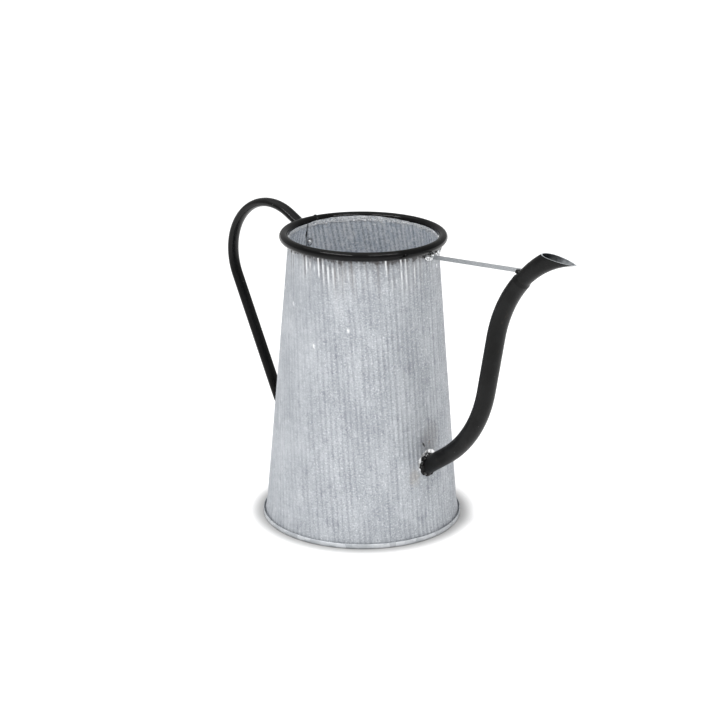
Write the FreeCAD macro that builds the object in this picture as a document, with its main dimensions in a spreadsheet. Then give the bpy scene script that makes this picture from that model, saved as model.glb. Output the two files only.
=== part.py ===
import FreeCAD, Part
import math
import os

import Sketcher

V = FreeCAD.Vector
DOC = FreeCAD.newDocument("WateringCan")
SHEET = DOC.addObject("Spreadsheet::Sheet", "Dims")

# Driving dimensions in millimetres and degrees. The origin is on the can's axis at the
# plane it stands on; the spout points to +X and the handle to -X.
DIMENSIONS = {
    # tapered can
    "rim_height": (250.0, "top of the rim ring above the resting plane"),
    "wall_thick": (0.6, "galvanised sheet of the wall"),
    "wall_top_radius": (62.4, "outside of the wall at the ring's middle"),
    "wall_low_radius": (81.9, "outside of the wall where the foot flare starts"),
    "wall_low_height": (15.0, "height where the foot flare starts"),
    "lip_above_ring": (1.3, "wall's top edge above the ring's middle"),
    "flare_mid_radius": (82.8, "outside of the flare, middle"),
    "flare_mid_height": (8.5, "height of the flare's middle"),
    "foot_radius": (84.5, "outside of the wall's bottom edge"),
    "foot_height": (1.0, "height of the wall's bottom edge"),
    # base
    "hem_radius": (85.7, "outside of the rolled hem"),
    "hem_height": (4.2, "height of the rolled hem"),
    "hem_thick": (0.8, "outer leg of the hem"),
    "hem_round": (0.35, "rounding of the hem's outer edges"),
    "pan_thick": (0.6, "sheet of the base pan"),
    "pan_skirt_radius": (82.8, "outside of the pan's inner skirt"),
    "pan_top": (5.0, "upper face of the pan inside the can"),
    "seal_width": (2.1, "sealing bead across the pan"),
    "seal_height": (2.4, "sealing bead up the wall"),
    "seal_bite": (0.1, "sealing bead's hold on the sheets it joins"),
    # rim ring
    "ring_radius": (66.4, "middle of the ring's tube"),
    "ring_tube": (3.8, "outer radius of the ring's tube"),
    "ring_tube_wall": (0.9, "wall of the ring's tube"),
    "ring_gap": (1.0, "gap at the butt joint, degrees round the ring"),
    "ring_joint_at": (172.0, "direction of the butt joint"),
    "ring_bead_arc": (3.0, "length of the butt weld, degrees round the ring"),
    "ring_bead_rise": (0.4, "height of the butt weld over the tube"),
    "tack_size": (1.9, "radius of a tack weld under the ring"),
    "tack_radius": (63.9, "tack weld's distance from the axis"),
    "tack_drop": (4.1, "tack weld below the ring's middle"),
    # seam
    "seam_at": (-179.0, "direction of the side seam"),
    "spot_size": (1.9, "radius of a spot weld"),
    "spot_rise": (0.6, "height of a spot weld inside the can"),
    "spot_top": (229.0, "height of the highest spot weld"),
    "spot_pitch": (28.0, "distance between spot welds"),
    # handle, drawn towards +X and then turned half round
    "handle_wide": (5.5, "half width of the oval tube across"),
    "handle_deep": (3.8, "half depth of the oval tube"),
    "handle_wall": (0.9, "wall of the oval tube"),
    "handle_top_radius": (62.7, "where the handle meets the wall under the ring"),
    "handle_top_height": (236.2, "height there"),
    "handle_rise": (27.0, "slope of the handle as it leaves the ring"),
    "handle_lead": (28.3, "straight run from the ring to the bow"),
    "handle_bow": (50.5, "radius of the bow"),
    "handle_fall": (-116.7, "heading of the long straight run"),
    "handle_run": (113.9, "long straight run"),
    "handle_ankle": (28.0, "radius of the bend above the foot"),
    "handle_foot_heading": (-147.0, "heading into the wall"),
    "handle_foot_run": (20.3, "straight run to the wall"),
    "tube_overrun": (8.0, "raw tube length past the wall before coping"),
    "top_weld_wide": (7.6, "half width of the weld at the handle's top"),
    "top_weld_proud": (3.4, "how far that weld stands along the handle"),
    "top_weld_tall": (6.4, "half height of that weld"),
    "top_weld_out": (1.2, "that weld's middle outside the wall"),
    "foot_weld_wide": (7.4, "half width of the weld at the handle's foot"),
    "foot_weld_proud": (2.6, "how far that weld stands off the wall"),
    "foot_weld_tall": (6.8, "half height of that weld"),
    "weld_lean": (5.0, "lean of the welds that lie on the tapered wall"),
    # spout
    "spout_wide": (8.3, "half width of the spout tube across"),
    "spout_deep": (7.2, "half depth of the spout tube"),
    "spout_wall": (0.7, "wall of the spout tube"),
    "spout_root_x": (78.1, "where the spout's middle meets the wall"),
    "spout_root_z": (63.5, "height there"),
    "spout_rise": (35.5, "slope of the spout at the wall"),
    "spout_lead": (22.0, "straight run from the wall"),
    "spout_low_bend": (104.0, "radius of the lower bend"),
    "spout_steep": (80.0, "slope of the middle run"),
    "spout_run": (49.0, "middle straight run"),
    "spout_high_bend": (106.0, "radius of the upper bend"),
    "spout_end_slope": (50.0, "slope where the tube ends"),
    "spout_end_run": (1.5, "straight end of the tube"),
    "spout_hole": (7.2, "radius of the water hole in the wall"),
    "collar_wide": (1.9, "spout's weld collar beyond the tube, sideways"),
    "collar_proud": (2.8, "how far the collar stands off the wall"),
    "collar_tall": (4.2, "collar beyond the tube, up and down"),
    # nozzle, drawn as stations along its own bend
    "nozzle_wall": (0.7, "wall of the nozzle"),
    "nozzle_bend": (94.6, "radius of the nozzle's bend"),
    "nozzle_start_slope": (54.0, "slope at the nozzle's hidden end"),
    "nozzle_mid_slope": (38.0, "slope at the middle of the nozzle"),
    "nozzle_mouth_slope": (25.0, "slope at the mouth"),
    "nozzle_last_slope": (12.0, "slope at the end of the raw piece"),
    "nozzle_wide": (7.5, "half width at the tube"),
    "nozzle_deep": (6.3, "half depth at the tube"),
    "nozzle_mid_wide": (7.0, "half width at the middle"),
    "nozzle_mid_deep": (7.1, "half depth at the middle"),
    "nozzle_mouth_wide": (6.4, "half width at the mouth"),
    "nozzle_mouth_deep": (7.9, "half depth at the mouth"),
    "nozzle_last_wide": (5.9, "half width at the end of the raw piece"),
    "nozzle_last_deep": (8.8, "half depth at the end of the raw piece"),
    "mouth_x": (204.0, "middle of the mouth"),
    "mouth_z": (267.0, "height of the middle of the mouth"),
    "mouth_tilt": (6.4, "forward tilt of the mouth"),
    "knife_long": (60.0, "block that cuts the mouth, along the can's X axis"),
    "knife_wide": (40.0, "block that cuts the mouth, across"),
    "knife_tall": (30.0, "block that cuts the mouth, upwards"),
    "braze_rise": (0.45, "braze over the nozzle at the tube's end"),
    "braze_run": (0.9, "braze along the nozzle"),
    # brace
    "brace_at": (14.0, "direction of the brace's end on the wall"),
    "brace_root_z": (237.1, "height of the brace at the wall"),
    "brace_tip_x": (171.5, "far end of the raw brace"),
    "brace_tip_z": (250.35, "height of the brace there"),
    "brace_tall": (3.4, "height of the strip"),
    "brace_thick": (1.0, "thickness of the strip"),
    "brace_tab": (12.0, "tab bent along the wall"),
    "brace_bite": (0.3, "raw brace's reach into the wall before coping"),
    "brace_weld_long": (2.6, "half length of the weld under the brace's far end"),
    "brace_weld_wide": (3.6, "half width of that weld"),
    "brace_weld_tall": (2.2, "half height of that weld"),
    "brace_weld_back": (4.3, "that weld's middle back from the raw brace's end"),
    "brace_weld_drop": (1.6, "that weld's middle below the brace's middle"),
    "brace_weld_lean": (45.0, "lean of that weld up the spout"),
    "solder_from": (5.0, "direction where the solder run starts"),
    "solder_arc": (30.0, "degrees of solder round the can"),
    "solder_radius": (64.4, "solder run's distance from the axis"),
    "solder_size": (3.3, "radius of the solder run"),
    "solder_drop": (6.0, "solder run below the ring's middle"),
}
TACKS_AT = (-62, -49, -32, -15, 62, 96, 130, 152, -152, -118, -90)
SPOT_COUNT = 8

RING_Z = "(Dims.rim_height - Dims.ring_tube)"
WALL_SLOPE = (
    f"((Dims.wall_low_radius - Dims.wall_top_radius) / ({RING_Z} - Dims.wall_low_height))"
)


def fill_sheet():
    """Write every driving dimension as a plain number with its alias and a note."""
    for row, (alias, (number, note)) in enumerate(DIMENSIONS.items(), start=1):
        SHEET.set(f"A{row}", alias)
        SHEET.set(f"B{row}", str(number))
        SHEET.setAlias(f"B{row}", alias)
        SHEET.set(f"C{row}", note)
    DOC.recompute()


def value(expression):
    """The number that an expression on the sheet gives now."""
    return float(SHEET.evalExpression(str(expression)))


def bind(item, **expressions):
    """Tie properties of an object to expressions on the sheet."""
    for name, expression in expressions.items():
        item.setExpression(name, expression)


def place(item, x="0", y="0", z="0", axis=V(0, 0, 1), angle="0"):
    """Tie an object's position and its turn about one axis to the sheet."""
    item.Placement = FreeCAD.Placement(V(0, 0, 0), FreeCAD.Rotation(axis, 1.0))
    for path, expression in (("Base.x", x), ("Base.y", y), ("Base.z", z)):
        item.setExpression(f"Placement.{path}", expression)
    item.setExpression("Placement.Rotation.Angle", f"({angle}) * 1 deg")


def new_body(name):
    return DOC.addObject("PartDesign::Body", name)


def new_sketch(body, name, role):
    """A sketch on one of the body's own origin planes."""
    sketch = body.newObject("Sketcher::SketchObject", name)
    plane = next(f for f in body.Origin.OriginFeatures if f.Role == role)
    sketch.AttachmentSupport = (plane, [""])
    sketch.MapMode = "FlatFace"
    return sketch


def fix(sketch, kind, *arguments, to, unit=""):
    """Add a dimension and tie it to the sheet."""
    index = sketch.addConstraint(Sketcher.Constraint(kind, *arguments))
    sketch.renameConstraint(index, f"size{index}")
    sketch.setExpression(f"Constraints.size{index}", f"({to}){unit}")


def fix_point(sketch, geometry, end, x, y):
    """Tie a point to both sketch axes; a zero puts it on the axis itself."""
    if x == "0":
        sketch.addConstraint(Sketcher.Constraint("PointOnObject", geometry, end, -2))
    else:
        fix(sketch, "DistanceX", -1, 1, geometry, end, value(x), to=x)
    if y == "0":
        sketch.addConstraint(Sketcher.Constraint("PointOnObject", geometry, end, -1))
    else:
        fix(sketch, "DistanceY", -1, 1, geometry, end, value(y), to=y)


def draw_outline(sketch, corners):
    """A closed outline of straight lines through corners given as expressions."""
    points = [V(value(x), value(y), 0) for x, y in corners]
    count = len(points)
    for k in range(count):
        sketch.addGeometry(Part.LineSegment(points[k], points[(k + 1) % count]))
    for k in range(count):
        sketch.addConstraint(Sketcher.Constraint("Coincident", k, 2, (k + 1) % count, 1))
    for k, (x, y) in enumerate(corners):
        fix_point(sketch, k, 1, x, y)


def draw_ellipse(sketch, wide, deep):
    """An ellipse about the sketch's origin; wide is the half width along its X axis."""
    half_x, half_y = value(wide), value(deep)
    reach_x, reach_y = V(half_x, 0, 0), V(0, half_y, 0)
    along_x = half_x >= half_y
    ends = (reach_x, reach_y) if along_x else (reach_y, reach_x)
    ellipse = sketch.addGeometry(Part.Ellipse(*ends, V(0, 0, 0)))
    sketch.exposeInternalGeometry(ellipse)
    major, minor = ellipse + 1, ellipse + 2
    sketch.addConstraint(Sketcher.Constraint("Coincident", ellipse, 3, -1, 1))
    level = "Horizontal" if along_x else "Vertical"
    sketch.addConstraint(Sketcher.Constraint(level, major))
    x_line, y_line = (major, minor) if along_x else (minor, major)
    fix(sketch, "Distance", x_line, 2 * half_x, to=f"2 * ({wide})")
    fix(sketch, "Distance", y_line, 2 * half_y, to=f"2 * ({deep})")


def draw_route(sketch, start, heading, steps):
    """Straight lengths and tangent arcs: ("line", length, heading) or ("arc", radius)."""
    x, y = value(start[0]), value(start[1])
    before = None
    for index, step in enumerate(steps):
        if step[0] == "line":
            turn = math.radians(value(step[2]))
            run = value(step[1])
            x_end, y_end = x + run * math.cos(turn), y + run * math.sin(turn)
            piece = sketch.addGeometry(Part.LineSegment(V(x, y, 0), V(x_end, y_end, 0)))
            fix(sketch, "Distance", piece, run, to=step[1])
            fix(sketch, "Angle", piece, turn, to=step[2], unit=" * 1 deg")
            first, last = 1, 2
        else:
            turn = math.radians(value(steps[index - 1][2]))
            turn_end = math.radians(value(steps[index + 1][2]))
            side = 1 if turn_end > turn else -1
            radius = value(step[1])
            middle = V(x - side * radius * math.sin(turn), y + side * radius * math.cos(turn), 0)
            ends = [turn - side * math.pi / 2, turn_end - side * math.pi / 2]
            circle = Part.Circle(middle, V(0, 0, 1), radius)
            piece = sketch.addGeometry(Part.ArcOfCircle(circle, *sorted(ends)))
            fix(sketch, "Radius", piece, radius, to=step[1])
            x_end = middle.x + side * radius * math.sin(turn_end)
            y_end = middle.y - side * radius * math.cos(turn_end)
            first, last = (1, 2) if side > 0 else (2, 1)
        if before is None:
            fix_point(sketch, piece, first, *start)
        else:
            sketch.addConstraint(Sketcher.Constraint("Tangent", *before, piece, first))
        before = (piece, last)
        x, y = x_end, y_end


def stand_at(sketch, x, z, slope):
    """Stand a YZ sketch across a heading that lies in the XZ plane."""
    tilt = FreeCAD.Rotation(V(-1, 0, 0), 1.0)
    sketch.AttachmentOffset = FreeCAD.Placement(V(0, 0, 0), tilt)
    sketch.setExpression("AttachmentOffset.Base.y", z)
    sketch.setExpression("AttachmentOffset.Base.z", x)
    sketch.setExpression("AttachmentOffset.Rotation.Angle", f"({slope}) * 1 deg")


def ahead(point, length, heading):
    """The point a length further on along a heading."""
    return (
        f"({point[0]} + ({length}) * cos({heading}))",
        f"({point[1]} + ({length}) * sin({heading}))",
    )


def round_left(point, radius, heading, new_heading):
    """The point at the end of a left-hand bend."""
    return (
        f"({point[0]} + ({radius}) * (sin({new_heading}) - sin({heading})))",
        f"({point[1]} + ({radius}) * (cos({heading}) - cos({new_heading})))",
    )


def round_right(point, radius, heading, new_heading):
    """The point at the end of a right-hand bend."""
    return round_left(point, f"-({radius})", heading, new_heading)


def turned(name, corners):
    """A body turned round the Z axis from an outline of radius and height."""
    body = new_body(name)
    sketch = new_sketch(body, f"{name}_outline", "XZ_Plane")
    draw_outline(sketch, corners)
    turn = body.newObject("PartDesign::Revolution", f"{name}_turn")
    turn.Profile = sketch
    turn.ReferenceAxis = (sketch, ["V_Axis"])
    turn.Angle = 360.0
    DOC.recompute()
    return body


def rod(name, start, heading, steps, wide, deep):
    """A solid oval rod along a bent route in the XZ plane."""
    body = new_body(name)
    path = new_sketch(body, f"{name}_route", "XZ_Plane")
    draw_route(path, start, heading, steps)
    section = new_sketch(body, f"{name}_section", "YZ_Plane")
    draw_ellipse(section, wide, deep)
    stand_at(section, *start, heading)
    DOC.recompute()
    pipe = body.newObject("PartDesign::AdditivePipe", f"{name}_sweep")
    pipe.Profile = section
    pipe.Spine = (path, [f"Edge{k + 1}" for k in range(len(steps))])
    DOC.recompute()
    return body


def joined(kind, name, base, tool):
    result = DOC.addObject(kind, name)
    result.Base, result.Tool = base, tool
    DOC.recompute()
    return result


def cut(name, base, *tools):
    """The base with each tool taken away in turn; the last result carries the name."""
    for count, tool in enumerate(tools, start=1):
        step_name = name if count == len(tools) else f"{name}_cut_{count}"
        base = joined("Part::Cut", step_name, base, tool)
    return base


def common(name, base, tool):
    return joined("Part::Common", name, base, tool)


def together(name, items):
    """Separate solids kept as one group."""
    group = DOC.addObject("Part::Compound", name)
    group.Links = items
    DOC.recompute()
    return group


def blob(name, half_sizes, x, z, lean="Dims.weld_lean"):
    """A rounded lump of weld, half as wide, proud and tall as given, leaning about Y."""
    wide, proud, tall = half_sizes
    lump = DOC.addObject("Part::Ellipsoid", name)
    bind(lump, Radius1=tall, Radius2=proud, Radius3=wide)
    lump.Angle1, lump.Angle2, lump.Angle3 = -90, 90, 360
    place(lump, x=x, z=z, axis=V(0, 1, 0), angle=f"-{lean}")
    DOC.recompute()
    return lump


def torus(name, middle, tube, sweep="360", start="0", z=RING_Z):
    ring = DOC.addObject("Part::Torus", name)
    bind(ring, Radius1=middle, Radius2=tube, Angle3=sweep)
    ring.Angle1, ring.Angle2 = -180, 180
    place(ring, z=z, angle=start)
    DOC.recompute()
    return ring


def wall_outside():
    """The solid cone that the wall's outer face bounds, used to cope what meets it."""
    cone = DOC.addObject("Part::Cone", "wall_outside")
    bind(cone, Radius1="Dims.wall_low_radius", Radius2="Dims.wall_top_radius")
    bind(cone, Height=f"{RING_Z} - Dims.wall_low_height")
    place(cone, z="Dims.wall_low_height")
    DOC.recompute()
    return cone


def wall_inside():
    """The solid cone inside the wall, which limits what shows inside the can."""
    cone = DOC.addObject("Part::Cone", "wall_inside")
    bind(cone, Radius1="Dims.wall_low_radius - Dims.wall_thick")
    bind(cone, Radius2="Dims.wall_top_radius - Dims.wall_thick")
    bind(cone, Height=f"{RING_Z} - Dims.wall_low_height")
    place(cone, z="Dims.wall_low_height")
    DOC.recompute()
    return cone


def body_shell():
    """Tapered wall of thin sheet with a flared foot and the spout's water hole."""
    lip_z = f"({RING_Z} + Dims.lip_above_ring)"
    lip_radius = f"(Dims.wall_top_radius - {WALL_SLOPE} * Dims.lip_above_ring)"
    outside = [
        ("Dims.foot_radius", "Dims.foot_height"),
        ("Dims.flare_mid_radius", "Dims.flare_mid_height"),
        ("Dims.wall_low_radius", "Dims.wall_low_height"),
        (lip_radius, lip_z),
    ]
    inside = [(f"({radius} - Dims.wall_thick)", height) for radius, height in outside]
    body = turned("body_shell", outside + inside[::-1])
    before = body.Shape.Volume
    hole = new_sketch(body, "water_hole", "YZ_Plane")
    middle = V(0, value("Dims.spout_root_z"), 0)
    radius = value("Dims.spout_hole")
    circle = hole.addGeometry(Part.Circle(middle, V(0, 0, 1), radius))
    fix_point(hole, circle, 3, "0", "Dims.spout_root_z")
    fix(hole, "Radius", circle, radius, to="Dims.spout_hole")
    pocket = body.newObject("PartDesign::Pocket", "water_hole_cut")
    pocket.Profile = hole
    bind(pocket, Length="Dims.foot_radius")
    pocket.Reversed = True
    DOC.recompute()
    hole_volume = math.pi * radius**2 * value("Dims.wall_thick")
    removed = before - body.Shape.Volume
    if not 0.8 * hole_volume < removed < 1.5 * hole_volume:
        raise RuntimeError(f"the water hole took {removed:.1f} mm3, not about {hole_volume:.1f}")
    return body


def seam_spot_welds(inside):
    """Spot welds down the lapped side seam, proud of the wall's inner face."""
    welds = []
    for index in range(SPOT_COUNT):
        height = f"(Dims.spot_top - {index} * Dims.spot_pitch)"
        radius = (
            f"(Dims.wall_low_radius - Dims.wall_thick"
            f" - {WALL_SLOPE} * ({height} - Dims.wall_low_height) - Dims.spot_rise)"
        )
        weld = DOC.addObject("Part::Cylinder", f"spot_{index + 1}")
        bind(weld, Radius="Dims.spot_size", Height="3 * Dims.spot_rise")
        turn = math.radians(value("Dims.seam_at"))
        lay_flat = FreeCAD.Rotation(V(0, 0, 1), V(math.cos(turn), math.sin(turn), 0))
        weld.Placement = FreeCAD.Placement(V(0, 0, 0), lay_flat)
        weld.setExpression("Placement.Base.x", f"{radius} * cos(Dims.seam_at)")
        weld.setExpression("Placement.Base.y", f"{radius} * sin(Dims.seam_at)")
        weld.setExpression("Placement.Base.z", height)
        welds.append(common(f"spot_weld_{index + 1}", weld, inside))
    return together("seam_spot_welds", welds)


def base_pan():
    """Recessed base disc whose edge folds down, under the wall's foot and up outside it."""
    hem_inside = "(Dims.hem_radius - Dims.hem_thick)"
    skirt_inside = "(Dims.pan_skirt_radius - Dims.pan_thick)"
    pan_under = "(Dims.pan_top - Dims.pan_thick)"
    body = turned(
        "base_pan",
        [
            ("0", "Dims.pan_top"),
            ("Dims.pan_skirt_radius", "Dims.pan_top"),
            ("Dims.pan_skirt_radius", "Dims.pan_thick"),
            (hem_inside, "Dims.pan_thick"),
            (hem_inside, "Dims.hem_height"),
            ("Dims.hem_radius", "Dims.hem_height"),
            ("Dims.hem_radius", "0"),
            (skirt_inside, "0"),
            (skirt_inside, pan_under),
            ("0", pan_under),
        ],
    )
    turn = body.Tip
    rim = value("Dims.hem_radius")
    edges = [
        f"Edge{k + 1}"
        for k, edge in enumerate(turn.Shape.Edges)
        if isinstance(edge.Curve, Part.Circle) and abs(edge.Curve.Radius - rim) < 1e-6
    ]
    rounding = body.newObject("PartDesign::Fillet", "hem_rounding")
    rounding.Base = (turn, edges)
    bind(rounding, Radius="Dims.hem_round")
    DOC.recompute()
    return body


def base_seal():
    """Bead of sealing solder in the corner between the pan and the wall."""
    corner = "(Dims.pan_skirt_radius - Dims.seal_bite)"
    up_wall = "(Dims.flare_mid_radius - Dims.wall_thick + Dims.seal_bite / 2)"
    return turned(
        "base_seal",
        [
            (f"({corner} - Dims.seal_width)", "Dims.pan_top"),
            (corner, "Dims.pan_top"),
            (up_wall, "(Dims.pan_top + Dims.seal_height)"),
        ],
    )


def rim_ring():
    """Hollow bent tube round the outside of the wall's top edge, open at its butt joint."""
    sweep = "360 - Dims.ring_gap"
    start = "Dims.ring_joint_at + Dims.ring_gap / 2"
    outside = torus("ring_outside", "Dims.ring_radius", "Dims.ring_tube", sweep, start)
    bore_radius = "Dims.ring_tube - Dims.ring_tube_wall"
    bore = torus("ring_bore", "Dims.ring_radius", bore_radius, sweep, start)
    return cut("rim_ring", outside, bore), outside


def rim_joint_weld(ring_outside, wall):
    """Weld bead that closes the ring's butt joint."""
    bead = torus(
        "joint_bead",
        "Dims.ring_radius",
        "Dims.ring_tube + Dims.ring_bead_rise",
        "Dims.ring_bead_arc",
        "Dims.ring_joint_at - Dims.ring_bead_arc / 2",
    )
    return cut("rim_joint_weld", bead, ring_outside, wall)


def rim_tack_welds(ring_outside, wall):
    """Tack welds in the corner between the ring's underside and the wall."""
    tacks = []
    for index, direction in enumerate(TACKS_AT, start=1):
        ball = DOC.addObject("Part::Sphere", f"tack_{index}")
        bind(ball, Radius="Dims.tack_size")
        place(
            ball,
            x=f"Dims.tack_radius * cos({direction})",
            y=f"Dims.tack_radius * sin({direction})",
            z=f"{RING_Z} - Dims.tack_drop",
        )
        tacks.append(cut(f"tack_weld_{index}", ball, ring_outside, wall))
    return together("rim_tack_welds", tacks)


def oval_tube(name, start, heading, steps, wide, deep, thick):
    """An outer rod and its bore along the same route."""
    outside = rod(f"{name}_outside", start, heading, steps, wide, deep)
    bore = rod(f"{name}_bore", start, heading, steps, f"{wide} - {thick}", f"{deep} - {thick}")
    return outside, bore


def handle_parts(wall, ring_outside):
    """Oval handle tube, coped to the wall and the ring at its top and to the wall below."""
    lead = "(Dims.handle_lead + Dims.tube_overrun)"
    foot_run = "(Dims.handle_foot_run + Dims.tube_overrun)"
    top = ("Dims.handle_top_radius", "Dims.handle_top_height")
    start = ahead(top, "-Dims.tube_overrun", "Dims.handle_rise")
    steps = [
        ("line", lead, "Dims.handle_rise"),
        ("arc", "Dims.handle_bow"),
        ("line", "Dims.handle_run", "Dims.handle_fall"),
        ("arc", "Dims.handle_ankle"),
        ("line", foot_run, "Dims.handle_foot_heading"),
    ]
    sizes = ("Dims.handle_wide", "Dims.handle_deep", "Dims.handle_wall")
    outside, bore = oval_tube("handle", start, "Dims.handle_rise", steps, *sizes)
    for body in (outside, bore):
        place(body, angle="180")
    DOC.recompute()
    tube = cut("handle_tube", outside, bore, wall, ring_outside)
    top_sizes = ("Dims.top_weld_wide", "Dims.top_weld_proud", "Dims.top_weld_tall")
    top_x = "-(Dims.handle_top_radius + Dims.top_weld_out)"
    top_lump = blob("handle_top_lump", top_sizes, top_x, "Dims.handle_top_height")
    top_weld = cut("handle_top_weld", top_lump, outside, wall, ring_outside)
    bow = ahead(top, "Dims.handle_lead", "Dims.handle_rise")
    run = round_right(bow, "Dims.handle_bow", "Dims.handle_rise", "Dims.handle_fall")
    ankle = ahead(run, "Dims.handle_run", "Dims.handle_fall")
    low = round_right(ankle, "Dims.handle_ankle", "Dims.handle_fall", "Dims.handle_foot_heading")
    foot = ahead(low, "Dims.handle_foot_run", "Dims.handle_foot_heading")
    foot_sizes = ("Dims.foot_weld_wide", "Dims.foot_weld_proud", "Dims.foot_weld_tall")
    foot_lump = blob("handle_foot_lump", foot_sizes, f"-({foot[0]})", foot[1])
    foot_weld = cut("handle_foot_weld", foot_lump, outside, wall)
    return tube, top_weld, foot_weld


def spout_end():
    """Where the spout tube's upper bend ends."""
    root = ("Dims.spout_root_x", "Dims.spout_root_z")
    lead = ahead(root, "Dims.spout_lead", "Dims.spout_rise")
    low = round_left(lead, "Dims.spout_low_bend", "Dims.spout_rise", "Dims.spout_steep")
    run = ahead(low, "Dims.spout_run", "Dims.spout_steep")
    return round_right(run, "Dims.spout_high_bend", "Dims.spout_steep", "Dims.spout_end_slope")


def spout_parts(wall):
    """Spout tube coped to the wall, with its weld collar."""
    root = ("Dims.spout_root_x", "Dims.spout_root_z")
    start = ahead(root, "-Dims.tube_overrun", "Dims.spout_rise")
    steps = [
        ("line", "(Dims.spout_lead + Dims.tube_overrun)", "Dims.spout_rise"),
        ("arc", "Dims.spout_low_bend"),
        ("line", "Dims.spout_run", "Dims.spout_steep"),
        ("arc", "Dims.spout_high_bend"),
        ("line", "Dims.spout_end_run", "Dims.spout_end_slope"),
    ]
    sizes = ("Dims.spout_wide", "Dims.spout_deep", "Dims.spout_wall")
    outside, bore = oval_tube("spout", start, "Dims.spout_rise", steps, *sizes)
    tube = cut("spout_tube", outside, bore, wall)
    collar_sizes = (
        "Dims.spout_wide + Dims.collar_wide",
        "Dims.collar_proud",
        "Dims.spout_deep + Dims.collar_tall",
    )
    collar = blob("spout_collar", collar_sizes, *root)
    root_weld = cut("spout_root_weld", collar, outside, wall)
    return tube, root_weld, outside


def nozzle_loft(name, shrink):
    """A loft through the nozzle's oval stations, each made smaller by the same amount."""
    tube_end = ahead(spout_end(), "Dims.spout_end_run", "Dims.spout_end_slope")
    stations = [
        ("Dims.nozzle_start_slope", "Dims.nozzle_wide", "Dims.nozzle_deep"),
        ("Dims.spout_end_slope", "Dims.nozzle_wide", "Dims.nozzle_deep"),
        ("Dims.nozzle_mid_slope", "Dims.nozzle_mid_wide", "Dims.nozzle_mid_deep"),
        ("Dims.nozzle_mouth_slope", "Dims.nozzle_mouth_wide", "Dims.nozzle_mouth_deep"),
        ("Dims.nozzle_last_slope", "Dims.nozzle_last_wide", "Dims.nozzle_last_deep"),
    ]
    body = new_body(name)
    sections = []
    for index, (slope, wide, deep) in enumerate(stations, start=1):
        section = new_sketch(body, f"{name}_station_{index}", "YZ_Plane")
        draw_ellipse(section, f"{wide} - {shrink}", f"{deep} - {shrink}")
        spot = round_right(tube_end, "Dims.nozzle_bend", "Dims.spout_end_slope", slope)
        stand_at(section, *spot, slope)
        sections.append(section)
    DOC.recompute()
    loft = body.newObject("PartDesign::AdditiveLoft", f"{name}_loft")
    loft.Profile = sections[0]
    loft.Sections = sections[1:]
    DOC.recompute()
    return body


def nozzle_parts(spout_outside):
    """Nozzle pushed into the spout's end, cut level at its mouth, and its braze ring."""
    outside = nozzle_loft("nozzle_outside", "0")
    bore = nozzle_loft("nozzle_bore", "Dims.nozzle_wall")
    knife = DOC.addObject("Part::Box", "mouth_knife")
    bind(knife, Length="Dims.knife_long", Width="Dims.knife_wide", Height="Dims.knife_tall")
    place(
        knife,
        x="Dims.mouth_x - Dims.knife_long / 2 * cos(Dims.mouth_tilt)",
        y="-Dims.knife_wide / 2",
        z="Dims.mouth_z + Dims.knife_long / 2 * sin(Dims.mouth_tilt)",
        axis=V(0, 1, 0),
        angle="Dims.mouth_tilt",
    )
    DOC.recompute()
    nozzle = cut("spout_nozzle", outside, bore, knife)
    braze = new_body("braze_disc")
    ring = new_sketch(braze, "braze_outline", "YZ_Plane")
    draw_ellipse(ring, "Dims.nozzle_wide + Dims.braze_rise", "Dims.nozzle_deep + Dims.braze_rise")
    tube_end = ahead(spout_end(), "Dims.spout_end_run", "Dims.spout_end_slope")
    stand_at(ring, *tube_end, "Dims.spout_end_slope")
    pad = braze.newObject("PartDesign::Pad", "braze_pad")
    pad.Profile = ring
    bind(pad, Length="Dims.braze_run")
    DOC.recompute()
    joint_braze = cut("nozzle_joint_braze", braze, outside, spout_outside)
    return nozzle, joint_braze, outside


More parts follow.
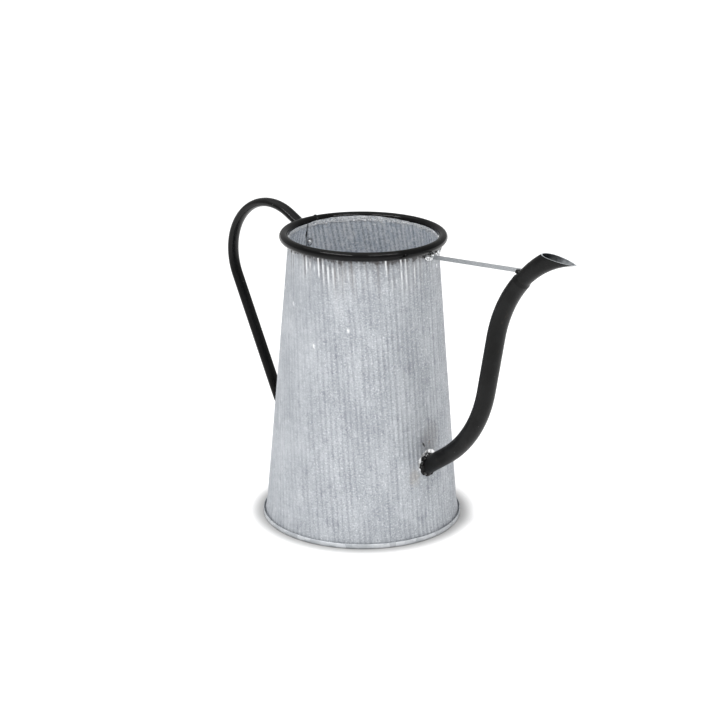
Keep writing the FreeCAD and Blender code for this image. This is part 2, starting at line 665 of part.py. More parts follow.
def brace_parts(wall, ring_outside, spout_outside, nozzle_outside):
    """Thin strip from under the rim to the spout, with its solder and its weld."""
    wall_radius = (
        f"(Dims.wall_top_radius + {WALL_SLOPE} * ({RING_Z} - Dims.brace_root_z)"
        " - Dims.brace_bite)"
    )
    root = V(
        value(f"{wall_radius} * cos(Dims.brace_at)"),
        value(f"{wall_radius} * sin(Dims.brace_at)"),
        value("Dims.brace_root_z"),
    )
    tip = V(value("Dims.brace_tip_x"), 0, value("Dims.brace_tip_z"))
    along = tip - root
    yaw = math.degrees(math.atan2(along.y, along.x))
    pitch = math.degrees(math.atan2(along.z, math.hypot(along.x, along.y)))
    body = new_body("brace_strip")
    plan = new_sketch(body, "brace_plan", "XY_Plane")
    bend = 90 + value("Dims.brace_at") - yaw
    tab = value("Dims.brace_tab")
    thick = value("Dims.brace_thick")
    tab_way = V(math.cos(math.radians(bend)), math.sin(math.radians(bend)), 0)
    tab_face = V(tab_way.y, -tab_way.x, 0)
    inner_end = tab_way * tab
    outer_end = inner_end + tab_face * thick
    inside_bend = thick * (1 - tab_face.y) / tab_way.y
    shift = thick - inner_end.x
    corners = [
        V(shift, 0, 0),
        V(shift + along.Length, 0, 0),
        V(shift + along.Length, thick, 0),
        V(shift + thick * tab_face.x + tab_way.x * inside_bend, thick, 0),
        outer_end + V(shift, 0, 0),
        inner_end + V(shift, 0, 0),
    ]
    draw_outline(plan, [(str(max(p.x, 1e-3)), str(p.y) if p.y else "0") for p in corners])
    pad = body.newObject("PartDesign::Pad", "brace_pad")
    pad.Profile = plan
    bind(pad, Length="Dims.brace_tall")
    pad.Midplane = True
    turn = FreeCAD.Rotation(V(0, 0, 1), yaw).multiply(FreeCAD.Rotation(V(0, 1, 0), -pitch))
    body.Placement = FreeCAD.Placement(root - turn.multVec(V(shift, 0, 0)), turn)
    DOC.recompute()
    strap = cut("brace_strap", body, wall, spout_outside, nozzle_outside)
    run = torus(
        "solder_run",
        "Dims.solder_radius",
        "Dims.solder_size",
        "Dims.solder_arc",
        "Dims.solder_from",
        z=f"{RING_Z} - Dims.solder_drop",
    )
    solder = cut("brace_rim_solder", run, wall, ring_outside, body)
    weld_sizes = ("Dims.brace_weld_long", "Dims.brace_weld_wide", "Dims.brace_weld_tall")
    weld_x = "Dims.brace_tip_x - Dims.brace_weld_back"
    weld_z = "Dims.brace_tip_z - Dims.brace_weld_drop"
    lump = blob("brace_lump", weld_sizes, weld_x, weld_z, "Dims.brace_weld_lean")
    weld = cut("brace_spout_weld", lump, body, spout_outside, nozzle_outside)
    return strap, solder, weld


def check_document():
    """Stop if any object of the document failed."""
    for item in DOC.Objects:
        bad = {"Invalid", "Error"} & set(item.State)
        if bad:
            raise RuntimeError(f"{item.Name} is {', '.join(bad)}")


def write_parts(parts):
    """Check each sub-part's shape, then write one STEP file a node."""
    for part in parts:
        if part.Shape.isNull() or not part.Shape.isValid() or part.Shape.Volume < 0.1:
            raise RuntimeError(f"{part.Label} has no good shape")
    os.makedirs("parts", exist_ok=True)
    for part in parts:
        part.Shape.exportStep(f"parts/{part.Label}.step")
        solids = len(part.Shape.Solids)
        print(f"{part.Label}: {solids} solid(s), {part.Shape.Volume:.1f} mm3")


def main():
    fill_sheet()
    wall = wall_outside()
    inside = wall_inside()
    ring, ring_outside = rim_ring()
    handle, handle_top, handle_foot = handle_parts(wall, ring_outside)
    spout, spout_root, spout_outside = spout_parts(wall)
    nozzle, braze, nozzle_outside = nozzle_parts(spout_outside)
    strap, solder, strap_weld = brace_parts(wall, ring_outside, spout_outside, nozzle_outside)
    parts = [
        body_shell(),
        seam_spot_welds(inside),
        base_pan(),
        base_seal(),
        ring,
        rim_joint_weld(ring_outside, wall),
        rim_tack_welds(ring_outside, wall),
        handle,
        handle_top,
        handle_foot,
        spout,
        spout_root,
        nozzle,
        braze,
        strap,
        solder,
        strap_weld,
    ]
    DOC.recompute()
    check_document()
    write_parts(parts)


main()
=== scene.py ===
import math

import bmesh
import bpy
import numpy as np
from mathutils import Matrix, Quaternion, Vector, noise


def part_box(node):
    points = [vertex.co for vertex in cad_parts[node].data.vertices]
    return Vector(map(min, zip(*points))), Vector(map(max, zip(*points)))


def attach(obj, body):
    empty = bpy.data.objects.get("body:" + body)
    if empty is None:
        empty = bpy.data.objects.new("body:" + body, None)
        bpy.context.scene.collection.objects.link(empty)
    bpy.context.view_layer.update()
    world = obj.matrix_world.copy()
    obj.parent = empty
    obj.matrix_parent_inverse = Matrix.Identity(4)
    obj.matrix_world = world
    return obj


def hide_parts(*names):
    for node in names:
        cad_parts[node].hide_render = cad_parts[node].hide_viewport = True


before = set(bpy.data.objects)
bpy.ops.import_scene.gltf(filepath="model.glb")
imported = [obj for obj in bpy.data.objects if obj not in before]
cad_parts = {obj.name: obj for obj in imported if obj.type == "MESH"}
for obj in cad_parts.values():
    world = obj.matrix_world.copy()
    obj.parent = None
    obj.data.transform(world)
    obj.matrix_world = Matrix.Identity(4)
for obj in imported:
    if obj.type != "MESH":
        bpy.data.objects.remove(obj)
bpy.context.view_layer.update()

# Sizes in metres, angles in degrees. The can's axis is Z and the spout points to +X.
ring_low, ring_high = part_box("rim_ring")
RING_TUBE = (ring_high.z - ring_low.z) / 2
RING_Z = (ring_high.z + ring_low.z) / 2
RING_RADIUS = ring_high.x - RING_TUBE
RING_JOINT_AT = 172.0
RING_WELDS_AT = (-62, -49, -32, -15, 62, 96, 130, 152, -152, -118, -90)

shell_low, shell_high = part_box("body_shell")
FOOT_Z = shell_low.z
FOOT_RADIUS = shell_high.x
SHEET = 0.0006
WALL_TOP_RADIUS = RING_RADIUS - RING_TUBE - 0.0002
WALL_LOW_RADIUS, WALL_LOW_Z = 0.0819, 0.015
LEAN = math.atan2(WALL_LOW_RADIUS - WALL_TOP_RADIUS, RING_Z - WALL_LOW_Z)
ROLL = math.sin(LEAN)

# The ribs run parallel across the flat sheet, before it is rolled into a cone.
RIB_PITCH = 0.0044
RIB_START = 0.00145
RIB_DEPTH = 0.00050
COLUMNS_A_RIB = 8
SHEET_MIDDLE = 5.5
SEAM_EDGES = (-183.0, 184.7)
SEAM_AT = -179.0
SEAM_WELDS = 8
LAP_RAMP = 14.0

_, pan_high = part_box("base_pan")
PAN_TOP = pan_high.z
HEM_RADIUS = pan_high.x
HEM_HEIGHT = 0.0042
HEM_ROLL = 0.0011
HEM_LIP = 0.0004

HANDLE_WIDE, HANDLE_DEEP = 0.0055, 0.0038
HANDLE_TOP = Vector((-0.0627, 0, 0.2362))
HANDLE_TOP_SLOPE = 153.0
HANDLE_FOOT = Vector((-0.0780, 0, 0.0575))
HANDLE_FOOT_SLOPE = 147.0

SPOUT_WIDE, SPOUT_DEEP = 0.0083, 0.0072
SPOUT_ROOT = Vector((0.0781, 0, 0.0635))
SPOUT_ROOT_SLOPE = 35.5
WATER_HOLE = 0.0066

RIM_SOLDER_SPAN = (5.5, 34.5)

NOZZLE_JOINT = Vector((0.17070, 0, 0.24202))
NOZZLE_JOINT_SLOPE = 50.0
NOZZLE_INNER_END = 53.0
BRAZE_SLOPES = (49.98, 47.2)
NOZZLE_BEND = 0.0946
NOZZLE_WALL = 0.0007
NOZZLE_SLOPES = (12.0, 25.0, 38.0, 50.0, 54.0)
NOZZLE_WIDTHS = (0.0059, 0.0064, 0.0070, 0.0075, 0.0075)
NOZZLE_DEPTHS = (0.0088, 0.0079, 0.0071, 0.0063, 0.0063)
MOUTH = Vector((0.204, 0, 0.267))
MOUTH_TILT = 6.4

CAMERA_TURN, CAMERA_RISE, CAMERA_ROLL = 44.0, 18.994, 0.3235
CAMERA_AIM = Vector((0, 0, 0.125))
CAMERA_DISTANCE = 1.6639
CAMERA_LENS, CAMERA_SHIFT = 97.69, (-0.0036, 0.0187)


# ---------------------------------------------------------------- shader arithmetic
class Socket:
    """A shader output that takes part in arithmetic; each operation adds one Math node."""

    def __init__(self, finish, output):
        self.finish, self.output = finish, output

    def math(self, operation, *others, clamp=False):
        inputs = dict(enumerate((self, *others)))
        return self.finish.add("ShaderNodeMath", dict(operation=operation, use_clamp=clamp), inputs)

    def __add__(self, other):
        return self.math("ADD", other)

    def __sub__(self, other):
        return self.math("SUBTRACT", other)

    def __mul__(self, other):
        return self.math("MULTIPLY", other)

    def __truediv__(self, other):
        return self.math("DIVIDE", other)

    def __pow__(self, other):
        return self.math("POWER", other)

    def __rsub__(self, other):
        return self * -1.0 + other

    __radd__, __rmul__ = __add__, __mul__

    def clamped(self):
        return self.math("ADD", 0.0, clamp=True)

    def length_flat(self):
        """Distance from the can's axis, for a position."""
        x, y, _ = self.finish.parts(self)
        return (x * x + y * y).math("SQRT")


class Finish:
    """One procedural material, or the sky, built node by node."""

    def __init__(self, name, kind="materials"):
        self.material = getattr(bpy.data, kind).new(name)
        self.material.use_nodes = True
        self.tree = self.material.node_tree
        self.tree.nodes.clear()

    def add(self, kind, settings=None, inputs=None, output=0):
        """A node of any kind: its settings are set first, then its sockets."""
        node = self.tree.nodes.new(kind)
        for key, given in (settings or {}).items():
            setattr(node, key, given)
        for key, given in (inputs or {}).items():
            if isinstance(given, Socket):
                self.tree.links.new(given.output, node.inputs[key])
            else:
                node.inputs[key].default_value = given
        if output is None:
            return None
        if isinstance(output, tuple):
            return tuple(Socket(self, node.outputs[k]) for k in output)
        return Socket(self, node.outputs[output])

    def where(self):
        """Position in the object's own frame, in millimetres."""
        spot = self.add("ShaderNodeTexCoord", output=3)
        return self.stretched(spot, 1000.0, 1000.0, 1000.0)

    def flat_sheet(self):
        """Position on the unrolled sheet in millimetres: across the ribs, along them."""
        spot = self.add("ShaderNodeUVMap", dict(uv_map="sheet"))
        return self.stretched(spot, 1000.0, 1000.0, 1000.0)

    def stretched(self, spot, x, y, z):
        settings = dict(operation="MULTIPLY")
        return self.add("ShaderNodeVectorMath", settings, {0: spot, 1: (x, y, z)})

    def parts(self, spot):
        return self.add("ShaderNodeSeparateXYZ", None, {0: spot}, output=(0, 1, 2))

    def cloud(self, spot, size, detail=3.0, rough=0.55):
        """Soft noise whose blotches are about this size, in the units of the position."""
        inputs = {"Vector": spot, "Scale": 1.0 / size, "Detail": detail, "Roughness": rough}
        return self.add("ShaderNodeTexNoise", None, inputs)

    def cells(self, spot, size):
        """Distance to the nearest of scattered points, and a random number for each."""
        inputs = {"Vector": spot, "Scale": 1.0 / size}
        distance, tint = self.add("ShaderNodeTexVoronoi", None, inputs, output=(0, 1))
        chance, _, _ = self.parts(tint)
        return distance, chance

    def step(self, value, low, high):
        """0 below low, 1 above high and a smooth rise between; low above high falls."""
        inputs = {0: value, 1: low, 2: high, 3: 0.0, 4: 1.0}
        return self.add("ShaderNodeMapRange", dict(interpolation_type="SMOOTHSTEP"), inputs)

    def mix(self, factor, first, second):
        colours = {0: factor, 6: first, 7: second}
        return self.add("ShaderNodeMix", dict(data_type="RGBA"), colours, output=2)

    def bump(self, height, distance, strength):
        inputs = {"Height": height, "Distance": distance, "Strength": strength}
        return self.add("ShaderNodeBump", None, inputs)

    def finished(self, **sockets):
        """The surface shader and the output; returns the material."""
        names = {}
        for key, given in sockets.items():
            names[key.replace("_", " ").title().replace("Ior", "IOR")] = given
        shader = self.add("ShaderNodeBsdfPrincipled", None, names)
        self.add("ShaderNodeOutputMaterial", None, {0: shader}, output=None)
        return self.material


def grey(level, blue=0.0):
    """A near-neutral colour; blue tips it cold."""
    return (level * (1 - blue), level, level * (1 + blue), 1.0)


# ---------------------------------------------------------------- finishes
def oval_mark(finish, spot, y, z, half_wide, half_tall, lean=0.0):
    """Distance from a point (y, z) on the wall, in radii of an oval that may lean; in mm."""
    _, across, height = finish.parts(spot)
    side = ((across - y) + (height - z) * lean) / half_wide
    rise = (height - z) / half_tall
    return (side * side + rise * rise).math("SQRT")


def rib_crest(across):
    """1 on a rib's crest and 0 in the valley."""
    turn = (across - RIB_START * 1000.0) * (2.0 * math.pi / (RIB_PITCH * 1000.0))
    return turn.math("COSINE") * 0.5 + 0.5


def direction(x, y):
    """Direction round the can in degrees, from the spout's side."""
    return y.math("ARCTAN2", x) * (180.0 / math.pi)


def zinc_outside():
    """Galvanised sheet gone pale and stained under the ring, with painted shade in the rib valleys
    and just under the ring, and crests worn bright and lit with painted highlights where light
    grazes.
    """
    finish = Finish("galvanised_outside")
    flat = finish.flat_sheet()
    spot = finish.where()
    across, _, _ = finish.parts(flat)
    x, y, z = finish.parts(spot)
    turn = direction(x, y)
    crest = rib_crest(across)
    lively = finish.step(turn, -110.0, -55.0) * 0.75 + 0.25
    blotch = finish.cloud(finish.stretched(flat, 1.0, 0.55, 1.0), 26.0, 4.0)
    spangle = finish.cloud(flat, 5.5, 4.0, 0.65)
    grit = finish.cloud(flat, 1.4, 2.0, 0.75)
    streak = finish.cloud(finish.stretched(flat, 1.0, 0.06, 1.0), 3.4, 3.0)
    pale = finish.step(blotch * 0.45 + spangle * 0.35 + grit * 0.20, 0.38, 0.62)
    colour = finish.mix(pale, (0.345, 0.366, 0.394, 1), (0.465, 0.487, 0.515, 1))
    bloom = finish.step(finish.cloud(flat, 11.0, 5.0, 0.7), 0.54, 0.70)
    colour = finish.mix(bloom * 0.28, colour, (0.57, 0.59, 0.61, 1))
    mottle = finish.step(finish.cloud(flat, 13.0, 5.0, 0.72), 0.47, 0.36)
    colour = finish.mix(mottle * (lively * 0.28 + 0.12), colour, (0.24, 0.255, 0.29, 1))
    salt = finish.step(grit, 0.55, 0.68) * lively
    colour = finish.mix(salt * 0.62, colour, (0.80, 0.81, 0.83, 1))
    colour = finish.mix(finish.step(grit, 0.45, 0.33) * lively * 0.52, colour, (0.19, 0.20, 0.23, 1))
    # Painted shade, with some dirt: the rib valleys are darkened in streaks.
    valley_shade_and_dirt = (1 - crest) * finish.step(streak, 0.36, 0.60) * (lively * 0.6 + 0.4)
    colour = finish.mix(valley_shade_and_dirt * (0.38 + mottle * 0.25), colour, (0.16, 0.17, 0.20, 1))
    top = finish.step(z, 200.0, 246.0)
    brown = finish.step(turn, -80.0, -66.0) * finish.step(turn, -44.0, -56.0) * 0.5 + 0.5
    tarnish = top * finish.step(streak * 0.6 + blotch * 0.4, 0.44, 0.60) * brown
    colour = finish.mix(tarnish * (0.78 - crest * 0.40), colour, (0.235, 0.215, 0.200, 1))
    # Painted highlight and painted shade: in two bands round the can where light grazes the ribs,
    # the crests are painted bright and the creases dark; elsewhere under the ring the crests carry
    # only some real wear.
    grazing_light_bands = finish.step(turn, -100.0, -93.0) * finish.step(turn, -64.0, -72.0)
    grazing_light_bands = grazing_light_bands.math("MAXIMUM", finish.step(turn, -37.0, -31.0) * finish.step(turn, 0.0, -8.0))
    patch = finish.step(finish.cloud(finish.stretched(flat, 1.0, 0.35, 1.0), 9.0, 3.0), 0.46, 0.60)
    under_ring = finish.step(z, 208.0, 240.0)
    wear_and_crest_highlight = crest**5.0 * patch * under_ring * (grazing_light_bands * 0.95 + 0.22)
    crease_shade = (1 - crest) ** 2.0 * patch * under_ring * grazing_light_bands
    colour = finish.mix(crease_shade * 0.75, colour, (0.12, 0.115, 0.12, 1))
    # Painted shadow, with some residue: a dark ragged band on the wall just under the ring.
    shade_and_residue_under_ring = finish.step(z + (spangle - 0.5) * 16.0 + (streak - 0.5) * 8.0, 237.6, 240.6)
    colour = finish.mix(shade_and_residue_under_ring * 0.80, colour, (0.055, 0.048, 0.045, 1))
    distance, chance = finish.cells(finish.stretched(flat, 1.0, 0.6, 1.0), 8.0)
    chosen = finish.step(chance, 0.84, 0.88) * finish.step(z, 120.0, 170.0)
    speck = finish.step(distance + (grit - 0.5) * 0.5, 0.20, 0.08) * chosen
    bright = wear_and_crest_highlight.math("MAXIMUM", speck * (0.30 + crest * 0.60))
    # Round the spout's collar: a bare halo, a scorched smudge, a brown run and a scratch.
    front = finish.step(x, 20.0, 40.0)
    ragged = oval_mark(finish, spot, 0.0, 64.0, 10.3, 10.9) + (spangle - 0.5) * 0.22
    upper_left = finish.step(z * 0.874 - y * 0.534, 56.9, 60.4)
    halo = finish.step(ragged, 1.20, 1.10) * upper_left * front
    bright = bright.math("MAXIMUM", halo * 0.9)
    smudge_at = oval_mark(finish, spot, 5.0, 88.0, 13.0, 17.0)
    smudge = finish.step(smudge_at + (blotch - 0.5) * 1.4, 1.0, 0.35) * front
    colour = finish.mix(smudge * (0.50 - crest * 0.25), colour, (0.20, 0.195, 0.20, 1))
    run_at = oval_mark(finish, spot, -16.0, 56.0, 6.5, 10.0)
    run = finish.step(run_at + (spangle - 0.5) * 1.6, 1.1, 0.3) * front
    colour = finish.mix(run * 0.34, colour, (0.34, 0.30, 0.25, 1))
    brown_at = oval_mark(finish, spot, 2.0, 82.4, 0.8, 1.4, lean=-1.0)
    colour = finish.mix(finish.step(brown_at, 1.2, 0.7) * front * 0.4, colour, (0.20, 0.13, 0.08, 1))
    colour = finish.mix(bright, colour, (0.97, 0.98, 0.99, 1))
    scratch_at = oval_mark(finish, spot, -4.75, 81.9, 0.95, 2.3, lean=0.447)
    scratch = finish.step(scratch_at + (grit - 0.5) * 0.6, 1.1, 0.8) * front
    colour = finish.mix(scratch * 0.92, colour, (0.03, 0.03, 0.032, 1))
    roughness = 0.60 - bright * 0.26 - pale * 0.06 + (grit - 0.5) * 0.10
    metallic = (0.30 + bright * 0.40 - bloom * 0.15).clamped()
    normal = finish.bump(grit * 0.6 + spangle * 0.4, 0.00022, 0.8)
    return finish.finished(base_color=colour, roughness=roughness, metallic=metallic, normal=normal)


def zinc_inside():
    """The inner face, shinier, with painted shade in streaks down the rib valleys, painted
    highlights on the crests and the ragged top edge, and a dark seam.
    """
    finish = Finish("galvanised_inside")
    flat = finish.flat_sheet()
    across, _, _ = finish.parts(flat)
    spot = finish.where()
    x, y, z = finish.parts(spot)
    crest = 1 - rib_crest(across)
    blotch = finish.cloud(finish.stretched(flat, 1.0, 0.6, 1.0), 18.0, 4.0)
    spangle = finish.cloud(flat, 4.5, 4.0, 0.65)
    grit = finish.cloud(flat, 1.3, 2.0, 0.7)
    streak = finish.cloud(finish.stretched(flat, 1.0, 0.08, 1.0), 4.0, 3.0)
    pale = finish.step(blotch * 0.4 + spangle * 0.4 + grit * 0.2, 0.38, 0.62)
    colour = finish.mix(pale, (0.60, 0.66, 0.73, 1), (0.93, 0.95, 0.98, 1))
    # Painted shade: dark streaks down the rib valleys.
    valley_shade_streaks = (finish.step(streak, 0.40, 0.60) * 0.5 + 0.5) * (1 - crest)
    colour = finish.mix(valley_shade_streaks * 0.62, colour, (0.17, 0.195, 0.24, 1))
    frost = finish.step(finish.cloud(flat, 9.0, 5.0, 0.72), 0.52, 0.66)
    colour = finish.mix(frost * 0.5, colour, (0.95, 0.97, 1.0, 1))
    salt = finish.step(grit, 0.54, 0.62)
    colour = finish.mix(salt * 0.8, colour, (0.97, 0.98, 1.0, 1))
    colour = finish.mix(finish.step(grit, 0.44, 0.34) * 0.5, colour, (0.22, 0.25, 0.30, 1))
    # Painted highlight: the rib crests are painted pale, more so towards the top; the ragged top
    # edge is bare cut metal, painted near white both for its bare metal and as a painted highlight.
    high = finish.step(z, 222.0, 240.0)
    shine = finish.step(spangle * 0.6 + grit * 0.4, 0.54, 0.62) * crest
    ragged = finish.cloud(spot, 2.2, 3.0, 0.7)
    lip = finish.step(z + (spangle - 0.5) * 8.0, 241.6, 243.6) * finish.step(ragged, 0.38, 0.48)
    bright = (shine * (0.35 + high * 0.55)).math("MAXIMUM", lip)
    colour = finish.mix(bright, colour, (0.98, 0.985, 0.99, 1))
    turn = direction(x, y).math("ABSOLUTE")
    back = finish.step(x, 0.0, -9.0)
    seam = finish.step(turn, 174.4, 174.9) * finish.step(turn, 176.2, 175.7) * back
    colour = finish.mix(seam * finish.step(y, 0.0, -2.0) * 0.8, colour, (0.06, 0.06, 0.07, 1))
    # Darker round the top spot weld on the seam.
    weld = oval_mark(finish, spot, -1.2, 229.0, 1.0, 1.0)
    darkened_round_weld = finish.step(weld, 4.4, 2.8) * back
    colour = finish.mix(darkened_round_weld * 0.7, colour, (0.10, 0.10, 0.11, 1))
    roughness = 0.44 - bright * 0.16 + (grit - 0.5) * 0.12
    crumpled = ragged * lip * 3.0
    normal = finish.bump(grit * 0.5 + spangle * 0.5 + crumpled, 0.00035, 0.9)
    return finish.finished(base_color=colour, roughness=roughness, metallic=0.60, normal=normal)


def zinc_plain(name, level, sheen, mottle=1.0):
    """Flat galvanised sheet: crystal spangle, pale bloom and grey scuffs."""
    finish = Finish(name)
    spot = finish.where()
    crystal, shade = finish.cells(spot, 7.0)
    haze = finish.cloud(spot, 14.0, 4.0, 0.6)
    grit = finish.cloud(spot, 1.1, 2.0)
    pale = finish.step(haze * 0.7 + shade * 0.3, 0.32, 0.66)
    colour = finish.mix(pale, grey(level * (1 - 0.30 * mottle), 0.05), grey(level, 0.035))
    scuff = finish.step(finish.cloud(spot, 3.0, 5.0, 0.7), 0.60, 0.74)
    colour = finish.mix(scuff * 0.6 * mottle, colour, grey(min(level * 1.35, 0.9), 0.02))
    roughness = 0.52 - sheen * 0.2 + (grit - 0.5) * 0.14 - scuff * 0.08
    normal = finish.bump(grit * 0.7 + crystal * 0.3, 0.0001, 0.6)
    metallic = 0.35 + sheen * 0.4
    return finish.finished(base_color=colour, roughness=roughness, metallic=metallic, normal=normal)


def black_paint(name, gloss, rust=0.0, lumpy=0.0, chips=0.0, shine=None):
    """Sprayed black paint: orange peel, dust in the coat, and rust, lumps or chips if asked.
    shine is the reflection level, which otherwise follows the gloss."""
    finish = Finish(name)
    spot = finish.where()
    peel = finish.cloud(spot, 1.0, 2.0)
    drift = finish.cloud(spot, 16.0, 4.0, 0.6)
    dull = 1 - gloss
    low, high = grey(0.0012 + 0.0030 * dull), grey(0.0030 + 0.0065 * dull, 0.02)
    coat = finish.mix(finish.step(drift, 0.35, 0.65), low, high)
    distance, chance = finish.cells(spot, 4.5)
    dust = finish.step(distance, 0.13, 0.06) * finish.step(chance, 0.86, 0.88)
    colour = finish.mix(dust * 0.7, coat, grey(0.06))
    if rust:
        bare = finish.step(finish.cloud(spot, 7.0, 5.0, 0.7), 0.60, 0.72)
        colour = finish.mix(bare * rust, colour, (0.075, 0.050, 0.032, 1))
    if chips:
        chipped = finish.step(finish.cloud(spot, 3.2, 4.0, 0.65), 0.60, 0.64)
        colour = finish.mix(chipped * chips, colour, grey(0.55, 0.02))
    roughness = (0.60 - gloss * 0.50) + (drift - 0.5) * (0.20 * dull + 0.01) + dust * 0.2
    height = peel
    if lumpy:
        height = peel * 0.3 + finish.cloud(spot, 2.4, 3.0) * lumpy
    normal = finish.bump(height, 0.00002 + 0.00006 * dull + lumpy * 0.0002, 0.6)
    level = shine or 0.08 + 0.14 * gloss
    return finish.finished(
        base_color=colour, roughness=roughness, normal=normal, specular_ior_level=level
    )


def bright_solder(name, dark):
    """Crumpled bright solder: its low creases are painted dark as painted shade, with patches of
    flux burn.
    """
    finish = Finish(name)
    spot = finish.where()
    crease = finish.cloud(spot, 2.8, 5.0, 0.7)
    grit = finish.cloud(spot, 0.8, 2.0)
    burn = finish.step(finish.cloud(spot, 5.0, 4.0, 0.6), 0.52, 0.62)
    # Painted shade: the low creases of the crumple, where the bump is lowest, are painted down to
    # the dark level.
    colour = finish.mix(finish.step(crease, 0.40, 0.54), grey(dark, 0.03), grey(0.90, 0.02))
    colour = finish.mix(burn * 0.8, colour, (0.07, 0.06, 0.055, 1))
    normal = finish.bump(crease * 0.8 + grit * 0.2, 0.0008, 0.9)
    roughness = 0.34 + burn * 0.3 + (grit - 0.5) * 0.1
    return finish.finished(base_color=colour, roughness=roughness, metallic=0.7, normal=normal)


def bare_steel(name, level):
    """Cut or unpainted steel: drawn lines, a blue-grey cast and dull spots."""
    finish = Finish(name)
    spot = finish.where()
    drawn = finish.cloud(finish.stretched(spot, 0.25, 3.0, 0.4), 2.0, 3.0)
    haze = finish.cloud(spot, 5.0, 4.0)
    colour = finish.mix(finish.step(haze, 0.35, 0.65), grey(level * 0.6, 0.07), grey(level, 0.04))
    normal = finish.bump(drawn, 0.00006, 0.6)
    roughness = 0.36 + (haze - 0.5) * 0.25
    return finish.finished(base_color=colour, roughness=roughness, metallic=0.75, normal=normal)


# ---------------------------------------------------------------- mesh helpers
def make_piece(name, mesh, finishes, nodes):
    """Put a finished mesh in the scene in place of its CAD nodes."""
    for finish in finishes:
        mesh.materials.append(finish)
    item = bpy.data.objects.new(name, mesh)
    bpy.context.scene.collection.objects.link(item)
    mesh.shade_smooth()
    mesh.set_sharp_from_angle(angle=math.radians(38))
    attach(item, "root")
    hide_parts(*nodes)


def wobble(spot, size, seed):
    """Smooth noise between -1 and 1 with bumps of about this size."""
    return noise.noise(Vector(spot) / size + Vector((seed * 7.3, seed * 3.1, seed * 5.7)))


def wall_radius(z):
    """Outer radius of the can's wall at a height, flare included; z may be an array."""
    below = np.clip(WALL_LOW_Z - z, 0, None)
    flare = FOOT_RADIUS - WALL_LOW_RADIUS - (WALL_LOW_Z - FOOT_Z) * math.tan(LEAN)
    cone = WALL_LOW_RADIUS + (WALL_LOW_Z - z) * math.tan(LEAN)
    return cone + flare * (below / (WALL_LOW_Z - FOOT_Z)) ** 2


def around(radius, degrees, z):
    """The point at a radius and a direction round the can, at a height."""
    turn = math.radians(degrees)
    return Vector((radius * math.cos(turn), radius * math.sin(turn), z))


def grid_faces(rows, columns, closed=False, first=0):
    """Quads of a grid whose vertices are numbered row by row."""
    faces = []
    for i in range(rows - 1):
        for j in range(columns if closed else columns - 1):
            k = (j + 1) % columns
            a, b = first + i * columns + j, first + i * columns + k
            faces.append((a, b, b + columns, a + columns))
    return faces


def face_outwards(mesh, change=None):
    """Make a closed mesh's faces point out, after an optional change to its bmesh."""
    made = bmesh.new()
    made.from_mesh(mesh)
    if change:
        change(made)
    bmesh.ops.recalc_face_normals(made, faces=made.faces)
    made.to_mesh(mesh)
    made.free()
    return mesh


def close_poles(made):
    """Join the vertices that meet on the axis and drop the faces left without area."""
    bmesh.ops.remove_doubles(made, verts=made.verts, dist=1e-7)
    bmesh.ops.dissolve_degenerate(made, edges=made.edges, dist=1e-8)


def turned_mesh(name, outline, segments, shift):
    """A closed solid turned round Z from an outline of (radius, z) that starts and ends
    on the axis; shift(point) moves each vertex."""
    verts = []
    for radius, z in outline:
        verts += [shift(around(radius, 360.0 * j / segments, z)) for j in range(segments)]
    mesh = bpy.data.meshes.new(name)
    mesh.from_pydata(verts, [], grid_faces(len(outline), segments, closed=True))
    return face_outwards(mesh, close_poles)


def sleeve_mesh(name, verts, rows, sides, finish_each=False):
    """A closed sleeve from the vertices of its outer and then its inner face. With
    finish_each, the outer face, the inner face and the ends have finishes 0, 1 and 2."""
    half = rows * sides
    faces = grid_faces(rows, sides, closed=True)
    outer_count = len(faces)
    faces += [face[::-1] for face in grid_faces(rows, sides, closed=True, first=half)]
    inner_count = len(faces)
    for first in (0, half - sides):
        for k in range(sides):
            a, b = first + k, first + (k + 1) % sides
            faces.append((a, b, b + half, a + half))
    mesh = bpy.data.meshes.new(name)
    mesh.from_pydata(verts, [], faces)
    if finish_each:
        set_finishes(mesh, outer_count, inner_count)
    return face_outwards(mesh)


def set_finishes(mesh, outer_count, inner_count):
    """Finish 0 for the outer faces, 1 for the inner faces after them and 2 for the edges."""
    kinds = np.zeros(len(mesh.polygons), np.int32)
    kinds[outer_count:inner_count] = 1
    kinds[inner_count:] = 2
    mesh.polygons.foreach_set("material_index", kinds)


def outside_wall(point):
    """The point, pushed out of the can where it would show through the sheet."""
    least = float(wall_radius(point.z)) - RIB_DEPTH - SHEET / 2
    flat = Vector((point.x, point.y, 0))
    if flat.length < least:
        flat *= least / flat.length
    return Vector((flat.x, flat.y, point.z))


def weld_bead(made, path, sizes, axis, closed, rough, seed, fit=None):
    """A lumpy bead along a path, added to a bmesh; sizes holds its radius at each point."""
    count, sides = len(path), 14
    rings = []
    for i, (spot, size) in enumerate(zip(path, sizes)):
        before = path[i - 1] if closed or i else path[0]
        after = path[(i + 1) % count] if closed or i < count - 1 else path[-1]
        way = (after - before).normalized()
        up = (axis - way * axis.dot(way)).normalized()
        side = way.cross(up)
        ring = []
        for k in range(sides):
            turn = 2 * math.pi * k / sides
            out = up * math.cos(turn) + side * math.sin(turn)
            lump = 1 + rough * wobble(spot + out * size, 0.0022, seed)
            lump += rough * 0.5 * wobble(spot + out * size, 0.0009, seed + 1)
            point = spot + out * size * lump
            ring.append(made.verts.new(fit(point) if fit else point))
        rings.append(ring)
    for i in range(count if closed else count - 1):
        one, two = rings[i], rings[(i + 1) % count]
        for k in range(sides):
            m = (k + 1) % sides
            made.faces.new((one[k], one[m], two[m], two[k]))
    if not closed:
        made.faces.new(rings[0][::-1])
        made.faces.new(rings[-1])


